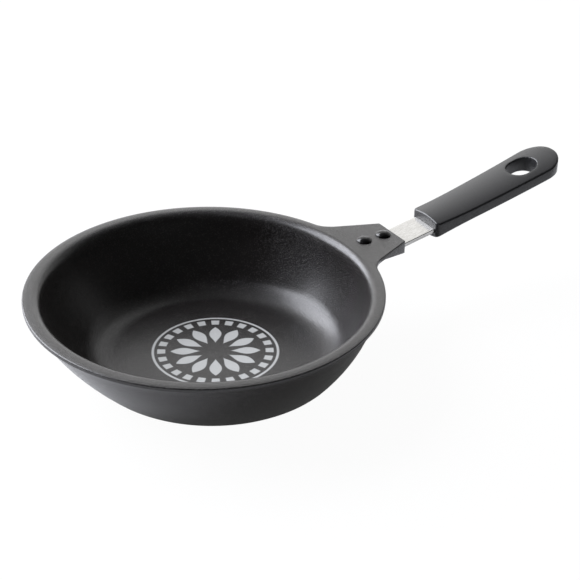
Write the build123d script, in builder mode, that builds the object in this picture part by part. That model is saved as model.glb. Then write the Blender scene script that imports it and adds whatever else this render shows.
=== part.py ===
"""One-handled omelette pan: cast bowl with a lug, riveted strap tang and a moulded grip.

Frame: +Z up, origin at the centre of the flat base, handle along +X. Units are millimetres.
The base stands off the rim's axis, towards the handle, so the wall is steep on the handle's
side and slopes gently on the far side, where an omelette is turned and slid out.
"""
import os
from math import atan2, cos, radians, sin, sqrt, tan

from build123d import *

# Bowl, outside
rim_radius = 110.0
pan_height = 53.0
base_shift = 7.3
base_corner_radius = 75.3
base_round = 20.0
wall_bow = 3.6

# Bowl, inside
base_thickness = 4.0
floor_inset = 1.0
floor_round = 24.0
inside_bow = 4.2
mouth_inset = 8.1
mouth_round = 4.5

# Turned rings in the base
ring_count = 2
ring_last_inset = 19.3
ring_pitch = 16.0
ring_width = 2.0
ring_depth = 0.5

# Rim
rim_edge = 3.0
rim_top_chamfer = 1.0
lip_width = 4.3
lip_flat = 2.4
flare_depth = 2.5

# Lug, cast in one with the rim
lug_length = 31.0
lug_half_width = 14.5
lug_half_angle = 22.5
lug_root_round = 18.0
lug_corner_round = 1.5
lug_seat_thickness = 4.8
skirt_thickness = 2.8
skirt_length = 23.3
skirt_depth = 9.2

# Rivets
rivet_setback = 7.5
rivet_pitch = 15.0
rivet_radius = 2.5
rivet_clearance = 0.05
rivet_head_radius = 5.0
rivet_head_land = 0.7
rivet_head_dome = 1.8
rivet_tail_radius = 4.2
rivet_tail_height = 1.5

# Tang
tang_width = 21.0
tang_thickness = 2.8
tang_seat_length = 28.5
tang_show = 26.5
tang_in_grip = 40.5
tang_rise = 9.5
tang_bend_radius = 12.0
tang_bend_gap = 0.2
tang_corner_round = 4.0

# Grip
grip_length = 107.0
grip_near_half_width = 13.8
grip_far_half_width = 17.2
grip_edge_lift = 4.8
grip_near_slope = 10.4
grip_far_slope = 14.2
grip_side_height = 6.7
grip_crown = 2.0
grip_belly = 2.2
mouth_length = 33.0
mouth_lift = 0.9
mouth_drop = 1.5
grip_near_round = 3.0
grip_end_round = 15.8
grip_top_chamfer = 0.8
grip_under_chamfer = 1.4
pocket_clearance = 0.15
hole_setback = 26.7
hole_half_length = 10.7
hole_half_width = 9.0

# Screw, from below into the tang
screw_setback = 20.0
screw_radius = 2.0
screw_clearance = 0.05
screw_hole_clearance = 0.3
screw_head_radius = 3.5
screw_head_height = 1.9
screw_head_gap = 0.3
screw_floor = 1.4
screw_short = 0.3
recess_length = 4.2
recess_width = 0.9
recess_depth = 1.1

# One overrun serves every cut
overrun = 2.0

# Shares of the bowl's height at which its sections stand, close together where it rounds
wall_shares = (0, 0.02, 0.075, 0.16, 0.33, 0.5, 0.67, 0.84, 1)
inside_shares = (0, 0.023, 0.09, 0.195, 0.34, 0.48, 0.62, 0.76, 0.908, 0.942, 0.98, 1)

# Shares of a rivet head's radius at which its dome is drawn
dome_shares = (0, 0.6, 1)

# Shares of the grip's length at which its sections stand
station_shares = (0, 0.14, 0.31, 0.48, 0.65, 0.82, 1)

# Radii of the bowl
wall_top_radius = rim_radius - lip_width
mouth_radius = rim_radius - mouth_inset
floor_corner_radius = base_corner_radius - floor_inset

# Heights
rim_under = pan_height - rim_edge
wall_top = rim_under - flare_depth
lug_seat = pan_height - lug_seat_thickness
lug_shoulder = pan_height - rim_top_chamfer
skirt_bottom = pan_height - skirt_depth
tang_middle = lug_seat - tang_thickness / 2
tang_under = lug_seat - tang_thickness

# Places along the handle
rim_x = -base_shift
lug_end = rim_x + rim_radius + lug_length
rivet_xs = (lug_end - rivet_setback - rivet_pitch, lug_end - rivet_setback)
tang_start = lug_end - tang_seat_length
bend_x = lug_end + tang_bend_gap + tang_bend_radius * tan(radians(tang_rise / 2))
grip_start = lug_end + tang_show
grip_end = grip_start + grip_length
tang_end = grip_start + tang_in_grip
hole_x = grip_end - hole_setback
screw_x = grip_start + screw_setback


def tang_height(x):
    """Height of the tang's middle plane where it rises from the lug to the grip."""
    return tang_middle + (x - bend_x) * tan(radians(tang_rise))


def grip_edge(s):
    """Height of the grip's upper side edge, s from its mouth: a rise that steepens steadily."""
    near = tan(radians(grip_near_slope))
    far = tan(radians(grip_far_slope))
    lift = mouth_lift * max(0, 1 - s / mouth_length) ** 2
    return tang_height(grip_start) + grip_edge_lift + s * (near + (far - near) * s / (2 * grip_length)) + lift


def grip_bottom(s):
    """Height of the grip's lower side edge. The mouth is deeper than the rest."""
    drop = (mouth_lift + mouth_drop) * max(0, 1 - s / mouth_length) ** 2
    return grip_edge(s) - grip_side_height - drop


def side_share(edge):
    """How high an edge of the grip lies on its side, 0 at the lower edge and 1 at the upper one."""
    s = edge.center().X - grip_start
    return (edge.center().Z - grip_bottom(s)) / (grip_edge(s) - grip_bottom(s))


def grip_half_width(s):
    """Half the grip's width, s from its mouth."""
    return grip_near_half_width + (grip_far_half_width - grip_near_half_width) * s / grip_length


def lug_plan(root_x, end_x, inset):
    """Corners of the lug's plan between two places, drawn in from its sides by inset."""
    spread = tan(radians(lug_half_angle))
    side = lug_half_width - inset / cos(radians(lug_half_angle))
    root_y = side + (lug_end - root_x) * spread
    end_y = side + (lug_end - end_x) * spread
    return [(end_x, end_y), (root_x, root_y), (root_x, -root_y), (end_x, -end_y)]


def wall_reach(height, side, tall, foot, top, rise, foot_round, top_round):
    """Distance of the bowl's wall from the base's axis, on the handle's side (1) or the other (-1).

    The wall leans out and bows by rise between its foot and its top. It is rounded into the
    flat at its foot and, where it has a top rounding, outwards at its top.
    """
    share = height / tall
    lean = top - foot + side * rim_x
    reach = foot + lean * share + 4 * rise * share * (1 - share)
    slope = atan2(tall, lean + 4 * rise)
    if height < foot_round * (1 - cos(slope)):
        arc = sqrt(height * (2 * foot_round - height))
        reach = min(reach, foot - foot_round * tan(slope / 2) + arc)
    slope = atan2(tall, lean - 4 * rise)
    drop = tall - height
    if drop < top_round * (1 - cos(slope)):
        arc = sqrt(drop * (2 * top_round - drop))
        reach = max(reach, foot + lean + top_round * tan(slope / 2) - arc)
    return reach


def bow(rise, half_width, y):
    """Height at y of a round bow that stands on +-half_width and rises by rise between them."""
    radius = (half_width**2 + rise**2) / (2 * rise)
    return sqrt(radius**2 - y**2) - radius + rise


# The screw stands square to the tang
screw_plane = Plane(
    origin=(screw_x, 0, tang_height(screw_x)),
    x_dir=(cos(radians(tang_rise)), 0, sin(radians(tang_rise))),
    z_dir=(-sin(radians(tang_rise)), 0, cos(radians(tang_rise))),
)

# Lug below the rim's plate: two skirts that run out towards the bowl, and the tang's seat
skirt_start = lug_end - skirt_length
seat_start = rim_x + wall_top_radius
skirt_root = seat_start - overrun

with BuildPart() as lug:
    with BuildSketch(Plane.XY.offset(skirt_bottom)) as lug_outline:
        Polygon(*lug_plan(skirt_root, lug_end, 0), align=None)
        fillet(lug_outline.vertices().group_by(Axis.X)[-1], radius=lug_corner_round)
    extrude(amount=lug_shoulder - skirt_bottom)
    with BuildSketch(Plane.XZ):
        Polygon(
            (skirt_start, rim_under),
            (lug_end, skirt_bottom),
            (lug_end, lug_shoulder),
            (skirt_start, lug_shoulder),
            align=None,
        )
    extrude(amount=rim_radius, both=True, mode=Mode.INTERSECT)
    with BuildSketch(Plane.XY.offset(skirt_bottom - overrun)):
        Polygon(*lug_plan(skirt_root, lug_end + overrun, skirt_thickness), align=None)
    extrude(amount=lug_seat - skirt_bottom + overrun, mode=Mode.SUBTRACT)
    with BuildSketch(Plane.XY.offset(lug_seat)):
        Polygon(*lug_plan(seat_start, lug_end, skirt_thickness), align=None)
    extrude(amount=lug_shoulder - lug_seat)

# The space inside the bowl, ruled between circles whose centres step from the floor to the rim
inside_height = pan_height - base_thickness
inside = (inside_height, floor_corner_radius, mouth_radius, inside_bow, floor_round, mouth_round)

with BuildPart() as cavity:
    for share in inside_shares:
        near, far = [wall_reach(share * inside_height, side, *inside) for side in (1, -1)]
        with BuildSketch(Plane.XY.offset(base_thickness + share * inside_height)):
            with Locations(((near - far) / 2, 0)):
                Circle((near + far) / 2)
    loft(ruled=True)

outside = (wall_top, base_corner_radius, wall_top_radius, wall_bow, base_round, 0)

with BuildPart() as pan_body:
    # Rim and lug in one plate
    with BuildSketch(Plane.XY.offset(rim_under)):
        with Locations((rim_x, 0)):
            Circle(rim_radius)
        Polygon(*lug_plan(rim_x + rim_radius / 2, lug_end, 0), align=None)
    extrude(amount=rim_edge)
    corners = pan_body.edges().filter_by(Axis.Z).group_by(Axis.X)
    fillet(corners[-1], radius=lug_corner_round)
    fillet(corners[-2], radius=lug_root_round)
    chamfer(pan_body.faces().sort_by(Axis.Z)[-1].edges(), length=rim_top_chamfer)
    add(lug.part)

    # The wall flares a little under the rim
    with BuildSketch(Plane.XY.offset(wall_top)):
        with Locations((rim_x, 0)):
            Circle(wall_top_radius)
    with BuildSketch(Plane.XY.offset(rim_under)):
        with Locations((rim_x, 0)):
            Circle(rim_radius - lip_flat)
    loft()

    # Bowl, ruled between circles as inside
    for share in wall_shares:
        near, far = [wall_reach(share * wall_top, side, *outside) for side in (1, -1)]
        with BuildSketch(Plane.XY.offset(share * wall_top)):
            with Locations(((near - far) / 2, 0)):
                Circle((near + far) / 2)
    loft(ruled=True)
    add(cavity.part, mode=Mode.SUBTRACT)

    # Turned rings in the base
    for i in range(ring_count):
        radius = base_corner_radius - ring_last_inset - i * ring_pitch
        with BuildSketch(Plane.XZ):
            Polygon(
                (radius - ring_width / 2, 0),
                (radius, ring_depth),
                (radius + ring_width / 2, 0),
                align=None,
            )
        revolve(axis=Axis.Z, mode=Mode.SUBTRACT)

    # Rivet holes
    with BuildSketch(Plane.XY.offset(pan_height)):
        with Locations(*[(x, 0) for x in rivet_xs]):
            Circle(rivet_radius + rivet_clearance)
    extrude(amount=-lug_seat_thickness, mode=Mode.SUBTRACT)
pan_body.part.label = "pan_body"

# Rivets: a domed head on the lug, a shank, and a set head under the tang
dome_foot = pan_height + rivet_head_land
dome = []
for share in dome_shares:
    along = share * rivet_head_radius
    dome.append((along, dome_foot + bow(rivet_head_dome, rivet_head_radius, along)))
rivet_bottom = tang_under - rivet_tail_height

with BuildPart() as rivet:
    with BuildSketch(Plane.XZ):
        Polygon(
            *dome,
            (rivet_head_radius, pan_height),
            (rivet_radius, pan_height),
            (rivet_radius, tang_under),
            (rivet_tail_radius, tang_under),
            (rivet_tail_radius, rivet_bottom),
            (0, rivet_bottom),
            align=None,
        )
    revolve(axis=Axis.Z)

with BuildPart() as rivets:
    with Locations(*[(x, 0) for x in rivet_xs]):
        add(rivet.part)
rivets.part.label = "rivets"

# Tang: one strap, flat under the lug and then rising into the grip
with BuildPart() as tang:
    with BuildLine(Plane.XZ) as tang_path:
        FilletPolyline(
            (tang_start, tang_middle),
            (bend_x, tang_middle),
            (tang_end, tang_height(tang_end)),
            radius=tang_bend_radius,
        )
    with BuildSketch(Plane(origin=tang_path.line @ 0, z_dir=tang_path.line % 0)):
        Rectangle(tang_thickness, tang_width)
    sweep()
    with BuildSketch():
        with Locations(((tang_start + tang_end) / 2, 0)):
            RectangleRounded(tang_end - tang_start, tang_width, radius=tang_corner_round)
    extrude(amount=grip_edge(tang_in_grip), mode=Mode.INTERSECT)
    with BuildSketch(Plane.XY.offset(tang_under)):
        with Locations(*[(x, 0) for x in rivet_xs]):
            Circle(rivet_radius + rivet_clearance)
    extrude(amount=tang_thickness, mode=Mode.SUBTRACT)
    with BuildSketch(screw_plane):
        Circle(screw_radius + screw_clearance)
    extrude(amount=tang_thickness, both=True, mode=Mode.SUBTRACT)
tang.part.label = "tang"

# Grip: crowned above, full below, ruled between sections and then cut to its plan
pocket_half = tang_thickness / 2 + pocket_clearance
pocket_tip = tang_end + pocket_clearance
bearing = -pocket_half - screw_floor

with BuildPart() as grip:
    for share in station_shares:
        along = share * grip_length
        half = grip_half_width(along)
        side = half + overrun
        top = grip_edge(along)
        bottom = grip_bottom(along)
        top_side = top + bow(grip_crown, half, side)
        bottom_side = bottom - bow(grip_belly, half, side)
        with BuildSketch(Plane.YZ.offset(grip_start + along)):
            with BuildLine():
                ThreePointArc((-side, top_side), (0, top + grip_crown), (side, top_side))
                Line((side, top_side), (side, bottom_side))
                ThreePointArc((side, bottom_side), (0, bottom - grip_belly), (-side, bottom_side))
                Line((-side, bottom_side), (-side, top_side))
            make_face()
    loft(ruled=True)
    with BuildSketch() as grip_plan:
        Polygon(
            (grip_start, grip_near_half_width),
            (grip_start, -grip_near_half_width),
            (grip_end, -grip_far_half_width),
            (grip_end, grip_far_half_width),
            align=None,
        )
        fillet(grip_plan.vertices().group_by(Axis.X)[0], radius=grip_near_round)
        fillet(grip_plan.vertices().group_by(Axis.X)[-1], radius=grip_end_round)
    extrude(amount=grip_edge(grip_length) + overrun + grip_crown, mode=Mode.INTERSECT)
    outline = grip.faces().filter_by(lambda face: round(face.normal_at().Z) == 0).edges()
    upper = outline.filter_by(Axis.Z, reverse=True).filter_by(lambda edge: side_share(edge) > 1 / 2)
    lower = outline.filter_by(Axis.Z, reverse=True).filter_by(lambda edge: side_share(edge) < 1 / 2)
    chamfer(upper, length=grip_top_chamfer)
    chamfer(lower, length=grip_under_chamfer)

    # Hang hole
    with BuildSketch():
        with Locations((hole_x, 0)):
            SlotOverall(2 * hole_half_length, 2 * hole_half_width)
    extrude(amount=grip_edge(grip_length) + overrun + grip_crown, mode=Mode.SUBTRACT)
    # Pocket for the tang, open at the mouth
    with BuildSketch(Plane.XZ):
        Polygon(
            (grip_start - overrun, tang_height(grip_start - overrun) - pocket_half),
            (pocket_tip, tang_height(pocket_tip) - pocket_half),
            (pocket_tip, tang_height(pocket_tip) + pocket_half),
            (grip_start - overrun, tang_height(grip_start - overrun) + pocket_half),
            align=None,
        )
    extrude(amount=tang_width / 2 + pocket_clearance, both=True, mode=Mode.SUBTRACT)

    # Screw hole and its counterbore, from below
    with BuildSketch(screw_plane):
        Circle(screw_radius + screw_hole_clearance)
    extrude(amount=-grip_side_height, mode=Mode.SUBTRACT)
    with BuildSketch(screw_plane.offset(bearing)):
        Circle(screw_head_radius + screw_head_gap)
    extrude(amount=-grip_side_height, mode=Mode.SUBTRACT)
grip.part.label = "grip"

# Screw: pan head with a cross recess
with BuildPart() as grip_screw:
    with BuildSketch(screw_plane.offset(bearing)):
        Circle(screw_head_radius)
    extrude(amount=-screw_head_height)
    with BuildSketch(screw_plane.offset(bearing)):
        Circle(screw_radius)
    extrude(amount=tang_thickness / 2 - screw_short - bearing)
    with BuildSketch(screw_plane.offset(bearing - screw_head_height)):
        Rectangle(recess_length, recess_width)
        Rectangle(recess_width, recess_length)
    extrude(amount=recess_depth, mode=Mode.SUBTRACT)
grip_screw.part.label = "grip_screw"

os.makedirs("parts", exist_ok=True)
export_step(pan_body.part, "parts/pan_body.step")
export_step(tang.part, "parts/tang.step")
export_step(rivets.part, "parts/rivets.step")
export_step(grip.part, "parts/grip.step")
export_step(grip_screw.part, "parts/grip_screw.step")

print("length", round(grip_end - rim_x + rim_radius, 1))
print("height", round(grip_edge(grip_length) + grip_crown, 1))
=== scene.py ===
# %% [markdown]
# # An omelette pan
#
# A small frying pan on a pale table. Its construction comes packed from CAD, at its real size and
# in its real place, and this script gives it its looks: finer meshes where a curved, satin surface
# would show facets, and one material for each finish.

import math
from collections import namedtuple

import bmesh
import bpy
from mathutils import Matrix, Vector, geometry


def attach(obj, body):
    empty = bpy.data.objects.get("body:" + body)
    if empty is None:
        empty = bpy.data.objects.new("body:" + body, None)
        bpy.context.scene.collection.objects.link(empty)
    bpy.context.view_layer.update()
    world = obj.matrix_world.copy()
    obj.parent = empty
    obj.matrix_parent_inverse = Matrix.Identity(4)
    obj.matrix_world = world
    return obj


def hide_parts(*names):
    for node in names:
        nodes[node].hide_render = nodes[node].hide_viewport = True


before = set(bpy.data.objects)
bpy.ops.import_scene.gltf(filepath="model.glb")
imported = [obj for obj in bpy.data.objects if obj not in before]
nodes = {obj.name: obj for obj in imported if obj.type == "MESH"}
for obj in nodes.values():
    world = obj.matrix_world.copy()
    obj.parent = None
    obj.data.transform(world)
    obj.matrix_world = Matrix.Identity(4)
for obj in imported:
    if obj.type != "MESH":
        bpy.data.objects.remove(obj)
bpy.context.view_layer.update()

# %% [markdown]
# Sizes are in millimetres, as on the CAD's drawing, and one function turns them into Blender's
# metres. The origin is the middle of the base, and the handle points along X. The bowl is
# eccentric: its base stands 7.3 mm nearer to the handle than its rim, so the wall is steep at the
# handle and slopes gently away from it, where an omelette is turned and slid out.

# %% Sizes shared by the pieces
MM = 0.001


def mm(*lengths):
    """Millimetres to metres, one value or a tuple."""
    scaled = tuple(length * MM for length in lengths)
    return scaled[0] if len(scaled) == 1 else scaled


PAN_HEIGHT = 53.0
RIM_EDGE = 3.0
RIM_RADIUS = 110.0
RIM_X = -7.3
BASE_THICKNESS = 4.0
LUG_LENGTH = 31.0
LUG_END = RIM_X + RIM_RADIUS + LUG_LENGTH
print("pan", 2 * RIM_RADIUS, "mm across and", PAN_HEIGHT, "mm high, lug to x", round(LUG_END, 1))

# %% [markdown]
# The camera repeats the photograph's view. It looks at the rim's axis at the lip's lower edge,
# from 30 degrees above and 29 degrees to the left of the side view, through a long lens, so the
# perspective is mild. By eye it would stay a few pixels off, so three small turns are fitted to
# the rim's ellipse and the handle.

# %% Camera at the photograph's angle
LENS = 93.1
SENSOR = 36.0
CAMERA_DISTANCE = 914.3
CAMERA_AZIMUTH = math.radians(29.45)
CAMERA_ELEVATION = math.radians(30.2)
CAMERA_YAW = math.radians(-3.76)
CAMERA_PITCH = math.radians(0.09)
CAMERA_ROLL = math.radians(-0.94)
NEAR_CLIP = 0.01

east, north = math.cos(CAMERA_AZIMUTH), math.sin(CAMERA_AZIMUTH)
level = math.cos(CAMERA_ELEVATION)
back = Vector((-north * level, -east * level, math.sin(CAMERA_ELEVATION)))
place = Vector(mm(RIM_X, 0, PAN_HEIGHT - RIM_EDGE)) + back * mm(CAMERA_DISTANCE)
right = Vector((east, -north, 0))
upward = back.cross(right)
for angle, line in (
    (CAMERA_YAW, Vector((0, 0, 1))),
    (CAMERA_PITCH, right.copy()),
    (CAMERA_ROLL, None),
):
    # The roll is about the line of sight, as the first two turns have left it
    turn = Matrix.Rotation(angle, 3, line or -back)
    back, right, upward = turn @ back, turn @ right, turn @ upward

camera_data = bpy.data.cameras.new("photo_camera")
camera_data.lens = LENS
camera_data.sensor_width = SENSOR
camera_data.sensor_fit = "HORIZONTAL"
camera_data.clip_start = NEAR_CLIP
camera = bpy.data.objects.new("photo_camera", camera_data)
axes = Matrix((right, upward, back)).transposed()
camera.matrix_world = Matrix.Translation(place) @ axes.to_4x4()
scene = bpy.context.scene
scene.collection.objects.link(camera)
scene.camera = camera
print("camera stands at", [round(c, 3) for c in place])

# %% [markdown]
# Every material is a small tree of nodes. One function turns an sRGB hex colour into Blender's
# linear numbers, and one adds a node with its settings and its links. Numbered inputs are counted
# as Blender does: in a Map Range node, 1 and 2 are the ends of the range that comes in, and 3 and
# 4 those of the one that goes out, which is 0 to 1 if not given.

# %% Colours and nodes


def linear(hex_colour):
    """An sRGB hex colour as the linear RGBA that a socket takes."""
    channels = [int(hex_colour[i : i + 2], 16) / 255 for i in (1, 3, 5)]
    curved = [c / 12.92 if c <= 0.04045 else ((c + 0.055) / 1.055) ** 2.4 for c in channels]
    return curved + [1.0]


def add(tree, kind, settings=None, **inputs):
    """Adds a node. settings are its own properties, such as the operation of a Math node.

    Each input is named as in Blender, with _ for a space, or by its number after an underscore.
    It gets a value, a socket to link from, or a node, whose first output is then linked.
    """
    node = tree.nodes.new(kind)
    for name, value in (settings or {}).items():
        setattr(node, name, value)
    for name, value in inputs.items():
        key = int(name[1:]) if name[0] == "_" else name.replace("_", " ")
        if isinstance(value, bpy.types.Node):
            value = value.outputs[0]
        if isinstance(value, bpy.types.NodeSocket):
            tree.links.new(value, node.inputs[key])
        else:
            node.inputs[key].default_value = value
    return node


def new_material(name):
    """An empty material and its tree."""
    material = bpy.data.materials.new(name)
    material.use_nodes = True
    material.node_tree.nodes.clear()
    return material, material.node_tree


TIMES = {"operation": "MULTIPLY"}
LARGER = {"operation": "MAXIMUM"}
RGBA = {"data_type": "RGBA"}
WHITE = linear("#FFFFFF")
print("sRGB middle grey is", round(linear("#808080")[0], 3), "of white in linear light")

# %% [markdown]
# The photograph was taken before a white backdrop that curves up behind the pan, with the dark
# studio behind the camera. A black pan shows its room more than its own colour. A few nodes draw
# such a room: the world is white for the camera, even all round for matt surfaces, and for
# reflections white at the back and darker to the front and overhead. The fades are in the cosine
# of the angle to the backdrop, and in the height of a ray.

# %% Studio
BACKDROP = (0.26, 0.97, 0)
BACKDROP_FADE = (-0.1, 0.35)
OVERHEAD_FADE = (0.35, 0.8)
SOFT_LEVEL = 0.2
FRONT_LEVEL = 0.1
OVERHEAD_SHARE = 0.25
scene.view_settings.view_transform = "Standard"


def seen_in_gloss(tree):
    """A node that is 1 for a ray that leaves a reflection or comes through glass."""
    path = add(tree, "ShaderNodeLightPath")
    gloss, glass = path.outputs["Is Glossy Ray"], path.outputs["Is Transmission Ray"]
    return add(tree, "ShaderNodeMath", LARGER, _0=gloss, _1=glass)


world = bpy.data.worlds.new("studio")
scene.world = world
world.use_nodes = True
tree = world.node_tree
tree.nodes.clear()
ray = add(tree, "ShaderNodeTexCoord").outputs["Generated"]
facing = add(tree, "ShaderNodeVectorMath", {"operation": "DOT_PRODUCT"}, _0=ray, _1=BACKDROP)
facing = facing.outputs["Value"]
low, high = BACKDROP_FADE
around = add(tree, "ShaderNodeMapRange", Value=facing, _1=low, _2=high, _3=FRONT_LEVEL, _4=1.0)
height = add(tree, "ShaderNodeSeparateXYZ", Vector=ray).outputs["Z"]
low, high = OVERHEAD_FADE
above = add(tree, "ShaderNodeMapRange", Value=height, _1=low, _2=high, _3=1.0, _4=OVERHEAD_SHARE)
room = add(tree, "ShaderNodeMath", TIMES, _0=around, _1=above)
straight = add(tree, "ShaderNodeLightPath").outputs["Is Camera Ray"]
level = add(tree, "ShaderNodeMath", LARGER, _0=straight, _1=room)
gloss = seen_in_gloss(tree)
shown = add(tree, "ShaderNodeMath", LARGER, _0=straight, _1=gloss)
soft = add(tree, "ShaderNodeBackground", Color=WHITE, Strength=SOFT_LEVEL)
white = add(tree, "ShaderNodeBackground", Color=WHITE, Strength=level)
pick = add(tree, "ShaderNodeMixShader", _0=shown, _1=soft, _2=white)
add(tree, "ShaderNodeOutputWorld", Surface=pick)
print("world is", FRONT_LEVEL, "in front and 1 at the back, seen in a reflection")

# %% [markdown]
# The table is pale matt paper. More light would turn it white and bleach the pan with it, so it
# glows for the camera instead, and a little for reflections, and what is left of the paper still
# takes the pan's soft shadow.

# %% Table
TABLE_HALF = 3000.0
GLOW_SEEN = 0.96
GLOW_IN_GLOSS = 0.09
PAPER = linear("#F4F4F4")

corners = [(x, y, 0) for x, y in ((-1, -1), (1, -1), (1, 1), (-1, 1))]
table_mesh = bpy.data.meshes.new("table_top")
table_mesh.from_pydata([Vector(c) * mm(TABLE_HALF) for c in corners], [], [(0, 1, 2, 3)])
table = bpy.data.objects.new("table_top", table_mesh)
scene.collection.objects.link(table)

# Matt white paper: no gloss at all, so its look is its colour and the shadow on it
material, tree = new_material("matt_white_paper")
matt = add(tree, "ShaderNodeBsdfDiffuse", Color=PAPER)
glow = add(tree, "ShaderNodeEmission", Color=WHITE, Strength=1.0)
straight = add(tree, "ShaderNodeLightPath").outputs["Is Camera Ray"]
seen = add(tree, "ShaderNodeMath", TIMES, _0=straight, _1=GLOW_SEEN)
gloss = seen_in_gloss(tree)
glossed = add(tree, "ShaderNodeMath", TIMES, _0=gloss, _1=GLOW_IN_GLOSS)
share = add(tree, "ShaderNodeMath", LARGER, _0=seen, _1=glossed)
pick = add(tree, "ShaderNodeMixShader", _0=share, _1=matt, _2=glow)
add(tree, "ShaderNodeOutputMaterial", Surface=pick)
table_mesh.materials.append(material)
print("table", 2 * TABLE_HALF, "mm square, glowing", GLOW_SEEN, "for the camera")

# %% [markdown]
# Two soft boxes do the rest; spots would draw small, hard highlights. A broad, weak one stands
# behind the pan, where the rim, the lug, the strap and the grip mirror it towards the camera. The
# key is a tall box behind the pan on its left, a little bluer. It draws the highlights in the
# corner of the floor, along the inside of the rim and on the rivets.

# %% Lamps
AIM = (0, 0, 30)


def soft_box(name, place_mm, size_mm, power, colour):
    """A rectangular lamp at a place, facing the middle of the pan."""
    data = bpy.data.lights.new(name, "AREA")
    data.shape = "RECTANGLE"
    data.size, data.size_y = mm(*size_mm)
    data.energy = power
    data.color = colour
    lamp = bpy.data.objects.new(name, data)
    direction = Vector(AIM) - Vector(place_mm)
    lamp.location = mm(*place_mm)
    lamp.rotation_euler = direction.to_track_quat("-Z", "Y").to_euler()
    scene.collection.objects.link(lamp)
    print(name, "of", size_mm, "mm,", power, "W")


BACK_BOX = {"place_mm": (440, 1280, 860), "size_mm": (2000, 1500), "power": 11}
KEY_BOX = {"place_mm": (-750, 1110, 930), "size_mm": (1600, 1350), "power": 80}
soft_box("back_box", **BACK_BOX, colour=(1.0, 1.0, 1.0))
soft_box("key_box", **KEY_BOX, colour=(0.91, 0.93, 1.0))

# %% [markdown]
# ## Pan body
#
# The bowl's wall follows one rule, inside and outside. Every level section is a circle, drawn
# through two points: how far the wall reaches on the handle's side, and how far on the other side.
# Between its foot and its top the wall leans out and bows a little, and it is rounded into the
# flats. A lathe or a Screw modifier could not make it, because the circles' centres step sideways
# as they rise.

# %% The rule of the wall
FLARE_DEPTH = 2.5
WALL_INSET = 4.3
MOUTH_INSET = 9.7
Wall = namedtuple("Wall", "tall foot top bow foot_round top_round")
OUTSIDE = Wall(
    tall=PAN_HEIGHT - RIM_EDGE - FLARE_DEPTH,
    foot=75.3,
    top=RIM_RADIUS - WALL_INSET,
    bow=3.6,
    foot_round=20.0,
    top_round=0.0,
)
INSIDE = Wall(
    tall=PAN_HEIGHT - BASE_THICKNESS,
    foot=74.3,
    top=RIM_RADIUS - MOUTH_INSET,
    bow=4.2,
    foot_round=27.0,
    top_round=5.6,
)


def wall_reach(height, side, wall):
    """Distance of the wall from the base's axis, on the handle's side (1) or the other (-1)."""
    share = height / wall.tall
    lean = wall.top - wall.foot + side * RIM_X
    reach = wall.foot + lean * share + 4 * wall.bow * share * (1 - share)
    slope = math.atan2(wall.tall, lean + 4 * wall.bow)
    if height < wall.foot_round * (1 - math.cos(slope)):
        arc = math.sqrt(height * (2 * wall.foot_round - height))
        reach = min(reach, wall.foot - wall.foot_round * math.tan(slope / 2) + arc)
    slope = math.atan2(wall.tall, lean - 4 * wall.bow)
    drop = wall.tall - height
    if drop < wall.top_round * (1 - math.cos(slope)):
        arc = math.sqrt(drop * (2 * wall.top_round - drop))
        reach = max(reach, wall.foot + lean + wall.top_round * math.tan(slope / 2) - arc)
    return reach


def wall_circle(height, wall):
    """Centre and radius of the wall's circle at a height above its foot."""
    near, far = (wall_reach(height, side, wall) for side in (1, -1))
    return (near - far) / 2, (near + far) / 2


for height in (0, INSIDE.tall / 2, INSIDE.tall):
    centre, radius = wall_circle(height, INSIDE)
    print("inside at", height, "mm: centre x", round(centre, 1), "radius", round(radius, 1))

# %% [markdown]
# A rounding needs a cut every few degrees, or its highlight breaks up, and the wall between two
# roundings needs only a few, so the cuts follow the angle there and not the height.

# %% Heights at which the wall is cut
WALL_STEPS = 9
FOOT_TURN = 60
MOUTH_TURN = 90


def turns(degrees, steps):
    """Angles from nothing to a number of degrees, in even steps."""
    return [math.radians(degrees * i / steps) for i in range(steps + 1)]


def wall_heights(wall):
    """Every few degrees of the wall's roundings, and evenly between them."""
    low = [wall.foot_round * (1 - math.cos(turn)) for turn in turns(FOOT_TURN, WALL_STEPS)]
    mouth = reversed(turns(MOUTH_TURN, WALL_STEPS))
    high = [wall.tall - wall.top_round * (1 - math.cos(turn)) for turn in mouth]
    high = high if wall.top_round else [wall.tall]
    between = [low[-1] + (high[0] - low[-1]) * i / WALL_STEPS for i in range(1, WALL_STEPS)]
    return low + between + high


print("inside cut at", len(wall_heights(INSIDE)), "heights, outside", len(wall_heights(OUTSIDE)))

# %% [markdown]
# The rim's plan is a circle with the lug grown out of it: a straight end, two slanting sides and a
# hollow curve at the root of each side, where a casting never has a sharp corner. The hollow curve
# touches the side and the rim's circle, which gives its centre.

# %% Plan of the lug
LUG_HALF_WIDTH = 14.5
LUG_ANGLE = math.radians(22.5)
ROOT_ROUND = 18.0
CORNER_ROUND = 1.5
SKIRT_THICKNESS = 2.8

side_normal = Vector((math.sin(LUG_ANGLE), math.cos(LUG_ANGLE)))
side_line = Vector((-math.cos(LUG_ANGLE), math.sin(LUG_ANGLE)))
rim_axis = Vector((RIM_X, 0))
lug_corner = Vector((LUG_END, LUG_HALF_WIDTH))
channel_corner = Vector((LUG_END, LUG_HALF_WIDTH - SKIRT_THICKNESS / math.cos(LUG_ANGLE)))
off_side = (lug_corner - rim_axis).dot(side_normal) + ROOT_ROUND
off_rim = RIM_RADIUS + ROOT_ROUND
along_side = math.sqrt(off_rim**2 - off_side**2)
root_centre = rim_axis + side_normal * off_side - side_line * along_side
root_angle = math.atan2(root_centre.y, root_centre.x - RIM_X)
corner_inset = CORNER_ROUND * math.tan(math.pi / 4 - LUG_ANGLE / 2)
corner_centre = lug_corner - Vector((CORNER_ROUND, corner_inset))
print("the lug's root ends", round(math.degrees(root_angle), 1), "degrees round the rim")

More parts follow.
